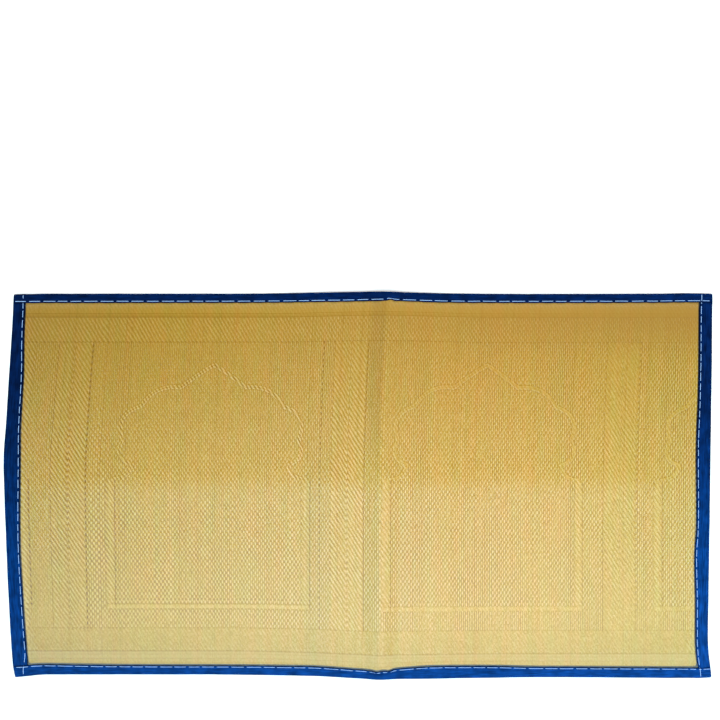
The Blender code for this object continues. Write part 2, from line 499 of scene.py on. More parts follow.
def hem_distance(x, y):
    """How far inside the nearest tape's inner hem a place is.

    The far tape lies close and is left out. The near one's painted hem shadow reaches a little further in.
    """
    return min(
        LEFT.depth(y, x) * LEFT.flange(y) - LEFT.hem(y),
        RIGHT.depth(y, x) * RIGHT.flange(y) - RIGHT.hem(y),
        NEAR.depth(x, y) * NEAR.flange(x) - NEAR.hem(x) - NEAR_SHADOW_EXTRA,
    )


def make_straw_panel(material):
    columns = round(2 * HALF_LENGTH / COLUMN_STEP)
    rows = round(2 * HALF_WIDTH / ROW_STEP)

    def place(column, row):
        # Both pairs of edges are uneven, so a few rounds settle a point between all four
        x = y = 0.0
        for _ in range(3):
            left, right = LEFT.straw_stop(y), RIGHT.straw_stop(y)
            x = left + (right - left) * column / (columns - 1)
            near, far = NEAR.straw_stop(x), FAR.straw_stop(x)
            y = near + (far - near) * row / (rows - 1)
        return x, y, straw_floor(x, y) + cockle(x, y)

    bm = bmesh.new()
    placed_grid(bm, columns, rows, place)
    panel = new_piece("woven_straw_panel", bm, material)
    places = np.array([straw_place(v.co.x, v.co.y) for v in panel.data.vertices])
    heads = distance_to_head(places)
    write_attribute(panel, "web", np.column_stack([places, heads]))
    hem = panel.data.attributes.new("hem", "FLOAT", "POINT")
    hem.data.foreach_set("value", [hem_distance(v.co.x, v.co.y) for v in panel.data.vertices])
    thicken(panel, STRAW_THICKNESS, 1)
    return panel


# ---- The tapes ----

TAPE_STEP = 3.0 * MM
HEM_LIFT = 0.9 * MM


class Seam:
    """The running stitch along one tape: where each stitch starts and ends, from end to end."""

    def __init__(self, start, end, stitch, seed, inset=SEAM_IN, veer=0.0):
        self.inset = inset
        self.veer = veer
        rng = random.Random(seed)
        self.runs = []
        place = start
        while place < end:
            long = stitch[0] * rng.uniform(0.82, 1.18)
            self.runs.append((place, min(place + long, end)))
            place += long + stitch[1] * rng.uniform(0.7, 1.3)

    def slack(self, along):
        """From 0 at a needle hole to 1 in the middle of a stitch."""
        for start, end in self.runs:
            if start <= along <= end:
                return math.sin(math.pi * (along - start) / (end - start)) ** 0.7
        return 0.0


FOLD_ROWS = 9
FLANGE_ROWS = 7


def tape_section():
    """From the upper hem round the fold to the lower: the share of the flange, and the fold's turn."""
    flange = [(1 - i / FLANGE_ROWS, 90.0) for i in range(FLANGE_ROWS)]
    fold = [(0.0, 90.0 - 180.0 * i / (FOLD_ROWS - 1)) for i in range(FOLD_ROWS)]
    lower = [(share, -turn) for share, turn in reversed(flange)]
    return flange + fold + lower


def make_tape(name, node, edge, seam, is_long, material, seed):
    """A tape folded over one edge. A long edge's tape laps over the two short ones at its ends."""
    ends = (LEFT, RIGHT) if is_long else (NEAR, FAR)
    overhang = BOUND_EDGE - END_SHORT if is_long else 0.0
    section = tape_section()
    middle_stop = edge.straw_stop(0.0)
    low = ends[0].straw_stop(middle_stop) - overhang
    high = ends[1].straw_stop(middle_stop) + overhang
    columns = round((high - low) / TAPE_STEP)

    def place(column, row):
        share, turn = section[row]
        turn = math.radians(turn)
        t = column / (columns - 1)
        along = low + (high - low) * t
        out = 0.0
        for _ in range(2):
            puff = seam.slack(along)
            hem_wave = 0.35 * MM * puff + 0.5 * MM * noise.noise(Vector((along / 0.05, seed, 0)))
            reach = share * (edge.hem(along) + hem_wave)
            bulge = 0.25 * MM * noise.noise(Vector((along / 0.03, seed, turn)))
            out = edge.straw_stop(along)
            out += edge.side * (math.cos(turn) * (FOLD_REACH + bulge) - reach)
            start = ends[0].straw_stop(out) - overhang
            stop = ends[1].straw_stop(out) + overhang
            along = start + (stop - start) * t
        x, y = (along, out) if is_long else (out, along)
        under = side_lap(x, y) if is_long else 0.0
        rise = LAYER * ((side_lap(x, y) if is_long else 1.0) + (1.0 if is_long else long_lap(x, y)))
        rise += crease_height(x, y)
        slope = straw_slope(x, y)
        upper = math.sin(turn)
        hem = smooth_step((share * edge.flange(along) - edge.flange(along) + 2 * SEAM_IN) / (2 * SEAM_IN))
        clearance = CAD_TAPE - TAPE_THICKNESS
        lift = 0.0
        if share > 0:
            crinkle = 0.22 * MM * noise.noise(Vector((along / 0.012, share * 2, seed + 3.0)))
            lift = clearance + abs(crinkle) * (1 - share * 0.5)
            if upper > 0:
                lift += HEM_LIFT * hem * seam.slack(along) * share
            else:
                lift = clearance
        distance = STRAW_THICKNESS / 2 + upper * (FOLD_REACH + LAYER * under + lift)
        return x - math.sin(slope) * distance, y, rise + math.cos(slope) * distance

    bm = bmesh.new()
    spots = placed_grid(bm, columns, len(section), place)
    bm.verts.index_update()
    cloth = [(0.0, 0.0, 0.0)] * len(bm.verts)
    for vertex, (column, row) in spots.items():
        share, turn = section[row]
        around = share * 14 * MM * math.copysign(1, turn) + math.radians(turn) * FOLD_REACH
        cloth[vertex.index] = ((high - low) * column / (columns - 1), around, share)
    tape = new_piece(name, bm, material)
    write_attribute(tape, "cloth", cloth)
    thicken(tape, TAPE_THICKNESS, edge.side if is_long else -edge.side)
    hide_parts(node)
    return tape


# ---- The stitches ----


THREAD_SIDES = 7
#    place along a stitch, and how far the thread has come up out of the cloth
TOP_RISE = ((0.0, 0.0), (0.05, 0.75), (0.16, 1.0), (0.5, 1.0), (0.84, 1.0), (0.95, 0.75), (1.0, 0.0))


def upper_face(x, y, is_long):
    """The height of the uppermost tape's outer face along a seam."""
    if is_long:
        tapes = 1 + side_lap(x, y)
    else:
        tapes = 2 if min(NEAR.depth(x, y), FAR.depth(x, y)) < 1 else 1
    return straw_floor(x, y) + STRAW_THICKNESS + LAYER * tapes


def thread_path(edge, seam, is_long, seed):
    """The middle line of a seam's thread, over the tape in each stitch and under it in each gap."""
    path = []
    for (start, end), following in zip(seam.runs, seam.runs[1:] + [None]):
        stops = [(start + (end - start) * t, rise) for t, rise in TOP_RISE]
        if following:
            stops += [(end + (following[0] - end) * t, None) for t in (0.3, 0.7)]
        for along, rise in stops:
            inside = edge.hem(along) - seam.inset
            inside += 0.3 * MM * noise.noise(Vector((along / 0.02, seed, 7.0)))
            inside -= seam.veer * smooth_step((VEER_FROM - along) / VEER_REACH)
            out = edge.straw_stop(along) - edge.side * inside
            x, y = (along, out) if is_long else (out, along)
            if rise is None:
                height = crease_height(x, y) + 0.3 * MM
            else:
                height = upper_face(x, y, is_long) + 0.25 * MM - 0.8 * MM * (1 - rise)
            path.append(Vector((x, y, height)))
    return path


def make_stitches(name, edge, seam, is_long, material, seed):
    """A seam's thread: one long tube, bent along its path."""
    path = thread_path(edge, seam, is_long, seed)
    bm = bmesh.new()
    bmesh.ops.create_cone(
        bm, cap_ends=True, segments=THREAD_SIDES, radius1=THREAD_RADIUS, radius2=THREAD_RADIUS, depth=1.0,
    )
    sides = [e for e in bm.edges if abs(e.verts[0].co.z - e.verts[1].co.z) > 0.5]
    bmesh.ops.subdivide_edges(bm, edges=sides, cuts=len(path) - 2, use_grid_fill=True)
    lengths = [0.0]
    for before, after in zip(path, path[1:]):
        lengths.append(lengths[-1] + (after - before).length)
    along_thread = []
    for vertex in bm.verts:
        index = round((vertex.co.z + 0.5) * (len(path) - 1))
        before, after = path[max(index - 1, 0)], path[min(index + 1, len(path) - 1)]
        ahead = (after - before).normalized()
        side = ahead.cross(Vector((0, 0, 1))).normalized()
        over = side.cross(ahead)
        angle = math.atan2(vertex.co.y, vertex.co.x)
        vertex.co = path[index] + side * vertex.co.x + over * vertex.co.y
        along_thread.append((lengths[index], angle, 0.0))
    bmesh.ops.recalc_face_normals(bm, faces=bm.faces)
    thread = new_piece(name, bm, material)
    write_attribute(thread, "thread", along_thread)
    return thread


# ---- Materials ----


def linear(hex_colour):
    """A colour as the shader takes it, from its sRGB hex code."""
    parts = [int(hex_colour[i:i + 2], 16) / 255 for i in (1, 3, 5)]
    return tuple(c / 12.92 if c <= 0.04045 else ((c + 0.055) / 1.055) ** 2.4 for c in parts) + (1.0,)


def add(tree, kind, values=(), **settings):
    """Adds a node with its settings, and gives its inputs another node, an output or a constant each."""
    made = tree.nodes.new("ShaderNode" + kind)
    for name, value in settings.items():
        setattr(made, name, value)
    pairs = values.items() if isinstance(values, dict) else enumerate(values)
    for key, value in pairs:
        if value is None:
            continue
        if isinstance(value, bpy.types.Node):
            value = value.outputs[0]
        if isinstance(value, bpy.types.NodeSocket):
            tree.links.new(value, made.inputs[key])
        else:
            made.inputs[key].default_value = value
    return made


def new_material(name):
    material = bpy.data.materials.new(name)
    material.use_nodes = True
    tree = material.node_tree
    tree.nodes.clear()
    return material, tree


def finish_material(tree, shader):
    output = add(tree, "OutputMaterial", {"Surface": shader})
    output.location = (600, 0)


# The dye along the web, with painted shade that darkens it towards the left end: place from the left end of
# the mat to the right, and the colour of its straws.
DYE_AND_PAINTED_SHADE = (
    (0.0, "#98782e"),
    (0.2, "#a4802e"),
    (0.5, "#b08a40"),
    (0.7, "#b48a3c"),
    (1.0, "#ac8c3c"),
)


# The straw's fading and painted light, from the near edge to the far one: paler and bluer towards the front,
# where sheen is painted, and darker at the far edge, where shade is painted.
FADING_AND_PAINTED_LIGHT = (
    (0.0, "#e4e8c8"),
    (0.15, "#fffff0"),
    (0.5, "#fcf8dc"),
    (0.95, "#e0d6b4"),
)


# Two streaks beside the middle: place along the web and half width in mm, and the change in red, green and
# blue in the near half and in the far one.
# The first is a bundle of less ripe straw. The second lies on the crease's left flank and is painted shade
# there: a plain darkening in the far half, and in the near half a greener, bluer tint that is partly greener
# stems and partly painted sheen.
GREEN_BUNDLE_AND_CREASE_SHADE = (
    (-70.0, 30.0, (-0.07, -0.03, 0.02), (0.0, 0.0, 0.0)),
    (24.0, 17.0, (-0.09, 0.01, 0.08), (-0.13, -0.12, -0.12)),
)


def colour_ramp(tree, place, table):
    """A ramp of colours, from a table of places and hex codes."""
    ramp = add(tree, "ValToRGB", (place,))
    elements = ramp.color_ramp.elements
    for element, (position, colour) in zip(elements, (table[0], table[-1])):
        element.position = position
        element.color = linear(colour)
    for position, colour in table[1:-1]:
        elements.new(position).color = linear(colour)
    return ramp


def weave_zones(t, along, across, off_head):
    """What is woven where: the share of twill, how much lighter the floats are painted than their dips
    (painted light and shade), and the turn of the twill.
    """
    off_niche = add(t, "Math", (from_repeat(t, along, NICHE_AT + JAMB_SHIFT),), operation="ABSOLUTE")
    off_middle = add(t, "Math", (across,), operation="ABSOLUTE")
    in_band = from_repeat(t, along, NICHE_AT + REPEAT / 2)
    band = add(t, "Math", (in_band, 0.0, BAND_HALF), operation="COMPARE")
    field_at, field_half = (FIELD_FAR + FIELD_NEAR) / 2, (FIELD_FAR - FIELD_NEAR) / 2
    in_field = add(t, "Math", (across, field_at, field_half), operation="COMPARE")
    border = add(t, "Math", (1.0, in_field), operation="SUBTRACT")
    selvedge = add(t, "Math", (off_middle, WEB_WIDTH / 2 - SELVEDGE), operation="GREATER_THAN")
    strip = add(t, "Math", (along, END_STRIP), operation="LESS_THAN")
    gap_at, gap_half = (END_STRIP + END_GAP) / 2, (END_GAP - END_STRIP) / 2
    end_gap = add(t, "Math", (along, gap_at, gap_half), operation="COMPARE")
    column_at, column_half = (COLUMN_IN + COLUMN_OUT) / 2, (COLUMN_OUT - COLUMN_IN) / 2
    jamb_at, jamb_half = (SHOULDER + SILL) / 2, (SHOULDER - SILL) / 2
    beside = add(t, "Math", (off_niche, column_at, column_half), operation="COMPARE")
    jamb = add(t, "Math", (across, jamb_at, jamb_half), operation="COMPARE")
    column = add(t, "Math", (beside, jamb), operation="MULTIPLY")
    within = add(t, "Math", (off_niche, COLUMN_OUT), operation="LESS_THAN")
    sill = add(t, "Math", (across, SILL + 3.4 * MM, 3.6 * MM), operation="COMPARE")
    sill = add(t, "Math", (sill, within), operation="MULTIPLY")
    above = add(t, "Math", (across, SHOULDER), operation="GREATER_THAN")
    arch = add(t, "MapRange", (off_head, ARCH_LINE - 0.6 * MM, ARCH_LINE + 0.6 * MM, above, 0.0))

    # The ground is a basket weave that leans a little, one way at the left and the other at the right
    twill = add(t, "MapRange", (along, NICHE_AT - REPEAT, NICHE_AT, 0.22, -0.14))
    near_depth, far_depth, border_depth = (
        add(t, "MapRange", (along, -HALF_LENGTH, HALF_LENGTH, *ends))
        for ends in (NEAR_DEPTH, FAR_DEPTH, BORDER_DEPTH)
    )
    band_depth = add(t, "MapRange", (along, -0.02, 0.45, *BAND_DEPTH))
    # The bands' painted float light and shade is weaker towards both long edges
    far_band_fade = add(t, "MapRange", (across, 0.08, 0.20, 1.0, 0.6))
    near_band_fade = add(t, "MapRange", (across, -0.23, -0.13, 0.7, 1.0))
    for band_fade in (far_band_fade, near_band_fade):
        band_depth = add(t, "Math", (band_depth, band_fade), operation="MULTIPLY")
    far_half = add(t, "Math", (across, 0.0), operation="GREATER_THAN")
    border_twill = add(t, "MapRange", (along, -0.35, 0.10, 0.0, -0.75))
    border_twill = add(t, "Math", (far_half, border_twill, 1.0), operation="MULTIPLY_ADD")
    to_far = add(t, "MapRange", (across, -0.06, 0.14))
    depth = add(t, "Mix", {"Factor": to_far, "A": near_depth, "B": far_depth})
    # Under the niche the right half of the web is painted with less float light and shade
    below = add(t, "MapRange", (across, SILL, SILL + 2 * MM, 1.0, 0.0))
    niche_fade = add(t, "MapRange", (along, -0.05, 0.16, 0.0, -0.5))
    kept = add(t, "Math", (below, niche_fade, 1.0), operation="MULTIPLY_ADD")
    depth = add(t, "Math", (depth, kept), operation="MULTIPLY")
    column_depth = add(t, "MapRange", (along, -0.42, 0.1, *COLUMN_DEPTH))
    arch_depth = add(t, "MapRange", (along, -0.06, 0.10, *ARCH_DEPTH))
    zones = (
        (end_gap, 0.3, GAP_DEPTH),
        (arch, 1.0, arch_depth),
        (column, 1.0, column_depth),
        (sill, 1.0, SILL_DEPTH),
        (band, 1.0, band_depth),
        (strip, 1.0, STRIP_DEPTH),
        (border, border_twill, border_depth),
        (selvedge, 1.0, SELVEDGE_DEPTH),
    )
    for zone, zone_twill, zone_depth in zones:
        twill = add(t, "Mix", {"Factor": zone, "A": twill, "B": zone_twill})
        depth = add(t, "Mix", {"Factor": zone, "A": depth, "B": zone_depth})
    # The twill turns half a rib at the middle of a band
    turned = add(t, "Math", (in_band, BAND_HALF / 2, BAND_HALF / 2), operation="COMPARE")
    turned = add(t, "Math", (turned, in_field), operation="MULTIPLY")
    return twill, depth, turned, in_field, arch, selvedge


def from_repeat(t, along, place):
    """How far along the web the nearest of a row of places is, one repeat apart."""
    shifted = add(t, "Math", (along, place), operation="SUBTRACT")
    return add(t, "Math", (shifted, REPEAT / 2, -REPEAT / 2), operation="WRAP")


def weave_lines(t, along, across, in_field, over):
    """How much darker with painted shade, or lighter with painted light, the lines between the weaves are,
    and the run of dark stems.
    """
    in_band = from_repeat(t, along, NICHE_AT + REPEAT / 2)
    in_niche = from_repeat(t, along, NICHE_AT)
    off_niche = add(t, "Math", (in_niche,), operation="ABSOLUTE")
    jamb_at, jamb_half = (SHOULDER + SILL) / 2, (SHOULDER - SILL) / 2
    jamb = add(t, "Math", (across, jamb_at, jamb_half), operation="COMPARE")
    sill = add(t, "Math", (off_niche, COLUMN_OUT), operation="LESS_THAN")
    sill_fade = add(t, "MapRange", (along, -0.1, 0.1, 1.0, 0.55))
    sill = add(t, "Math", (sill, sill_fade), operation="MULTIPLY")
    dip = add(t, "Math", (over, -2.0, 2.0), operation="MULTIPLY_ADD")
    groups = (
        (CROSS_LINES, across, None),
        (BAND_LINES, in_band, in_field),
        (COLUMN_LINES, in_niche, jamb),
        (SILL_LINES, across, sill),
        (STEM_LINES, along, in_field),
    )
    shade = 0.0
    for table, place, limit in groups:
        for centre, half, depth, dots in table:
            line = add(t, "Math", (place, centre * MM, half * MM), operation="COMPARE")
            if limit:
                line = add(t, "Math", (line, limit), operation="MULTIPLY")
            dotted = add(t, "Math", (dip, dots * depth, (1 - dots) * depth), operation="MULTIPLY_ADD")
            shade = add(t, "Math", (line, dotted, shade), operation="MULTIPLY_ADD")
    fade = add(t, "MapRange", (along, -HALF_LENGTH, HALF_LENGTH, *LINE_FADE))
    return add(t, "Math", (shade, fade), operation="MULTIPLY")


def straw_relief(t, along, across, twill, turned):
    """How high each straw stands: rounded across, and rising and dipping over its warp threads."""
    spread = add(t, "CombineXYZ", (add(t, "Math", (along, 50.0), operation="MULTIPLY"), across, 0.0))
    wander = add(t, "TexNoise", {"Vector": spread, "Scale": 1.0, "Detail": 1.0})
    wander = add(t, "MapRange", (wander.outputs[0], 0.25, 0.75, -STRAW_WANDER, STRAW_WANDER))
    straws = add(t, "Math", (add(t, "Math", (along, wander)), STRAW), operation="DIVIDE")
    straw = add(t, "Math", (straws,), operation="FLOOR")
    inside = add(t, "Math", (straws,), operation="FRACT")
    pairs = add(t, "Math", (straws, 2.0), operation="DIVIDE")
    pair = add(t, "Math", (pairs,), operation="FLOOR")
    inside_pair = add(t, "Math", (pairs,), operation="FRACT")
    rise = add(t, "Math", (across, math.pi / 2 / WARP), operation="MULTIPLY")
    twill_turn = add(t, "Math", (straw, math.pi / 2, rise), operation="MULTIPLY_ADD")
    twill_turn = add(t, "Math", (twill_turn, math.pi / 4), operation="SUBTRACT")
    twill_turn = add(t, "Math", (turned, math.pi, twill_turn), operation="MULTIPLY_ADD")
    basket_turn = add(t, "Math", (pair, math.pi, rise), operation="MULTIPLY_ADD")
    waves = [add(t, "Math", (turn,), operation="COSINE") for turn in (basket_turn, twill_turn)]
    wave = add(t, "Mix", {"Factor": twill, "A": waves[0], "B": waves[1]}, clamp_factor=False)
    over = add(t, "MapRange", (wave, -0.8, 0.8), interpolation_type="SMOOTHSTEP")
    rounding = add(t, "Math", (add(t, "Math", (inside, math.pi), operation="MULTIPLY"),), operation="SINE")
    rounding = add(t, "Math", (rounding, 0.6), operation="POWER")
    height = add(t, "Math", (add(t, "Math", (rounding, over)), 0.5), operation="MULTIPLY")
    # Two straws of the ground lie close together, and a gap shows between one pair and the next
    off_gap = add(t, "Math", (inside_pair, 0.5, 0.0), operation="SUBTRACT")
    off_gap = add(t, "Math", (off_gap,), operation="ABSOLUTE")
    pair_gap = add(t, "MapRange", (off_gap, 0.2, 0.5, -0.2, 0.8), interpolation_type="SMOOTHSTEP")
    basket = add(t, "Math", (1.0, twill), operation="SUBTRACT")
    pair_gap = add(t, "Math", (pair_gap, basket), operation="MULTIPLY")
    return straw, over, rounding, height, pair_gap


def stem_shades(t, straw, across, selvedge):
    """How bright each stem is along its whole length, and each float of it on its own: the floats' random
    brightness is partly the straw's tone and partly painted glints, stronger towards the near edge.
    """
    own = add(t, "TexWhiteNoise", {"W": straw}, noise_dimensions="1D")
    own_value = add(t, "MapRange", (own.outputs["Value"], 0.0, 1.0, 0.975, 1.03))
    dark_stem = add(t, "MapRange", (own.outputs["Value"], 0.0, 0.10, 0.93, 1.0))
    bend = add(t, "Math", (add(t, "Math", (across, WARP), operation="DIVIDE"),), operation="FLOOR")
    one_bend = add(t, "CombineXYZ", (straw, bend, 0.0))
    own_bend = add(t, "TexWhiteNoise", {"Vector": one_bend}, noise_dimensions="2D")
    # Each float's random brightness, partly painted glints, is stronger in the near half
    unlike = add(t, "MapRange", (across, -0.05, 0.22, 0.29, 0.17))
    even = add(t, "Math", (selvedge, -0.45, 1.0), operation="MULTIPLY_ADD")
    unlike = add(t, "Math", (unlike, even), operation="MULTIPLY")
    off_mean = add(t, "Math", (own_bend.outputs["Value"], 0.5), operation="SUBTRACT")
    bend_value = add(t, "Math", (off_mean, unlike, 1.0), operation="MULTIPLY_ADD")
    value = add(t, "Math", (own_value, dark_stem), operation="MULTIPLY")
    return add(t, "Math", (value, bend_value), operation="MULTIPLY")


def float_shades(t, along, across, depth, over):
    """How bright a float is, as painted light on the float and painted shade in its dips: more unlike its
    dips in some patches than in others, stronger in the near half where it stands in for sheen, least at the
    near edge.
    """
    patch_place = add(t, "CombineXYZ", (along, across, 0.0))
    patch = add(t, "TexNoise", {"Vector": patch_place, "Scale": 22.0, "Detail": 2.0})
    patch_depth = add(t, "MapRange", (patch.outputs[0], 0.3, 0.7, 0.65, 1.35))
    near = add(t, "MapRange", (across, -0.10, 0.05, 1.22, 1.0))
    near_border = add(t, "MapRange", (across, -0.26, -0.23, 0.45, 1.0))
    for factor in (patch_depth, near, near_border):
        depth = add(t, "Math", (depth, factor), operation="MULTIPLY")
    centred = add(t, "Math", (over, 0.5), operation="SUBTRACT")
    return add(t, "Math", (centred, depth, 1.0), operation="MULTIPLY_ADD")


def arch_shade(t, along, across, off_head, arch, shade):
    """The line of the niche, painted as light and shade: a lit raised rib, painted shade in a furrow down its
    middle, and a painted shadow beside it.
    """
    furrow = add(t, "Math", (off_head, 0.8 * MM), operation="LESS_THAN")
    arch_fade = add(t, "MapRange", (along, -0.06, 0.10, 1.0, 0.35))
    rib = add(t, "Math", (arch, arch_fade), operation="MULTIPLY")
    furrow = add(t, "Math", (furrow, rib), operation="MULTIPLY")
    beside_arch = add(t, "Math", (off_head, ARCH_LINE + 0.9 * MM, 0.8 * MM), operation="COMPARE")
    above = add(t, "Math", (across, SHOULDER), operation="GREATER_THAN")
    beside_arch = add(t, "Math", (beside_arch, above), operation="MULTIPLY")
    shade = add(t, "Math", (rib, -0.14, shade), operation="MULTIPLY_ADD")
    shade = add(t, "Math", (beside_arch, 0.11, shade), operation="MULTIPLY_ADD")
    return add(t, "Math", (furrow, 0.26, shade), operation="MULTIPLY_ADD")


def dyed_and_shaded_straw(t, along, across, value):
    """The dye of a place along the web, with the painted light and shade its two ramps carry, and darker and
    warmer in the dips, where shade is painted.
    """
    dye_place = add(t, "MapRange", (along, -HALF_LENGTH, HALF_LENGTH))
    dye_and_painted_light = colour_ramp(t, dye_place, DYE_AND_PAINTED_SHADE)
    dye_loss_and_painted_light = colour_ramp(t, add(t, "MapRange", (across, -HALF_WIDTH, HALF_WIDTH)), FADING_AND_PAINTED_LIGHT)
    dye_and_painted_light = add(t, "VectorMath", (dye_and_painted_light, dye_loss_and_painted_light.outputs[0]), operation="MULTIPLY")
    # Painted shade in the dips, which is warmer: green is lost sooner than red, and blue sooner still, which
    # also paints a paler, bluer sheen on the floats
    powers = [add(t, "Math", (value, power), operation="POWER") for power in (0.96, 1.35, 4.5)]
    return add(t, "VectorMath", (dye_and_painted_light, add(t, "CombineXYZ", powers)), operation="MULTIPLY")


def bundle_tones(t, along, across, bundle_place, colour):
    """Stems of one bundle are a little redder or greener than the next, in streaks along the straws, and the
    crease's left flank gets its painted shade as one more streak.
    """
    bundle = add(t, "TexNoise", {"Vector": bundle_place, "Scale": 9.0, "Detail": 4.0, "Roughness": 0.7})
    redder = add(t, "MapRange", (bundle.outputs[0], 0.3, 0.7, 0.93, 1.07))
    greener = add(t, "MapRange", (bundle.outputs[0], 0.3, 0.7, 1.04, 0.96))
    tint = add(t, "CombineXYZ", (redder, greener, 1.0))
    tone = add(t, "VectorMath", (colour, tint), operation="MULTIPLY")
    # The second row paints the crease's shade
    for place, half, near_change, far_change in GREEN_BUNDLE_AND_CREASE_SHADE:
        off_bundle = add(t, "Math", (add(t, "Math", (along, -place * MM)),), operation="ABSOLUTE")
        reach = (0.4 * half * MM, half * MM)
        streak = add(t, "MapRange", (off_bundle, *reach, 1.0, 0.0), interpolation_type="SMOOTHSTEP")
        changes = []
        for near_part, far_part in zip(near_change, far_change):
            change = add(t, "MapRange", (across, 0.0, 0.12, near_part, far_part))
            changes.append(add(t, "Math", (streak, change, 1.0), operation="MULTIPLY_ADD"))
        tone = add(t, "VectorMath", (tone, add(t, "CombineXYZ", changes)), operation="MULTIPLY")
    return tone


def far_border_and_hem_shade(t, along, across, tone):
    """Painted shade darkens and browns the far border, most towards its right end, and a painted shadow lies
    on the straw right beside the tapes' hems."""
    far_border = add(t, "MapRange", (across, 0.20, 0.29, 0.0, 1.0), interpolation_type="SMOOTHSTEP")
    off_lightest = add(t, "Math", (add(t, "Math", (along, 0.28)),), operation="ABSOLUTE")
    to_ends = add(t, "MapRange", (off_lightest, 0.05, 0.9, 0.0, 0.72))
    far_border_shade = add(t, "Math", (far_border, to_ends), operation="MULTIPLY")
    hem = add(t, "Attribute", attribute_name="hem")
    hem_shadow = add(t, "MapRange", (hem.outputs["Fac"], *HEM_SHADOW_REACH, 1.0, 0.0))
    # The inputs 0, 6 and 7 of a colour mix are its factor and its two colours, and its output 2 is a colour
    # Painted shade: the far border darkened and browned towards its ends, most towards the right
    colour = add(t, "Mix", {6: tone, 7: linear("#8f6426"), 0: far_border_shade}, data_type="RGBA").outputs[2]
    # Painted shadow: a dark line on the straw beside the tapes' hems
    return add(t, "Mix", {6: colour, 7: linear("#03070f"), 0: hem_shadow}, data_type="RGBA").outputs[2]


def straw_material():
    """Rush straw, dyed golden and woven wet: a satin skin, rounded across each straw and long along it.

    Each straw is one stem, so its colour runs the whole width of the mat, and stems from one dye bath lie
    together in streaks. The ground is a two-and-two basket weave, and the bands, the border and the line of
    the niche are a two-and-two twill.
    """
    material, t = new_material("woven_rush_straw")
    web = add(t, "Attribute", attribute_name="web")
    along, across, head = add(t, "SeparateXYZ", (web.outputs["Vector"],)).outputs
    off_head = add(t, "Math", (head,), operation="ABSOLUTE")
    twill, depth, turned, in_field, arch, selvedge = weave_zones(t, along, across, off_head)
    straw, over, rounding, height, pair_gap = straw_relief(t, along, across, twill, turned)

    bundle_place = add(t, "CombineXYZ", (add(t, "Math", (along, 7.0), operation="MULTIPLY"), across, 0.0))
    loose = add(t, "TexNoise", {"Vector": bundle_place, "Scale": 2.2, "Detail": 1.0})
    # Painted shade in the gaps between pairs of straws and between single straws
    pair_depth = add(t, "MapRange", (loose.outputs[0], 0.35, 0.65, *PAIR_GAP))
    pair_gap_shade = add(t, "Math", (pair_gap, pair_depth, 1.0), operation="MULTIPLY_ADD")
    straw_gap_shade = add(t, "MapRange", (rounding, 0.2, 0.9, 0.80, 1.05))
    shade = weave_lines(t, along, across, in_field, over)
    shade = arch_shade(t, along, across, off_head, arch, shade)
    line_light_and_shade = add(t, "Math", (1.0, shade), operation="SUBTRACT")
    float_light_and_shade = float_shades(t, along, across, depth, over)
    value = stem_shades(t, straw, across, selvedge)
    # The float, gap and line factors paint the weave's light and shade into the colour
    for factor in (float_light_and_shade, pair_gap_shade, straw_gap_shade, line_light_and_shade):
        value = add(t, "Math", (value, factor), operation="MULTIPLY")
    value = add(t, "Math", (value, 1.33, 0.2), operation="SMOOTH_MIN")
    colour = dyed_and_shaded_straw(t, along, across, value)
    colour = bundle_tones(t, along, across, bundle_place, colour)
    colour = far_border_and_hem_shade(t, along, across, colour)

    # The selvedge is pressed flat, and the line of the niche stands a little proud
    flat = add(t, "MapRange", (selvedge, 0.0, 1.0, 1.0, 0.25))
    raised = add(t, "Math", (arch, 0.3, height), operation="MULTIPLY_ADD")
    raised = add(t, "Math", (raised, flat), operation="MULTIPLY")
    bump = add(t, "Bump", {"Strength": 1.0, "Distance": 0.3 * MM, "Height": raised})
    shader = add(t, "BsdfPrincipled", {
        "Base Color": colour,
        "Roughness": 0.20,
        "IOR": 1.5,
        "Specular IOR Level": 0.36,
        "Normal": bump,
    })
    finish_material(t, shader)
    return material


# The tape's blue, painted lighter the nearer it lies to the front as painted light: place from front to back,
# and its colour.
BLUE_WITH_PAINTED_LIGHT = (
    (0.00, "#083574"),
    (0.30, "#04306b"),
    (0.50, "#022354"),
    (0.72, "#021840"),
    (1.00, "#02173f"),
)


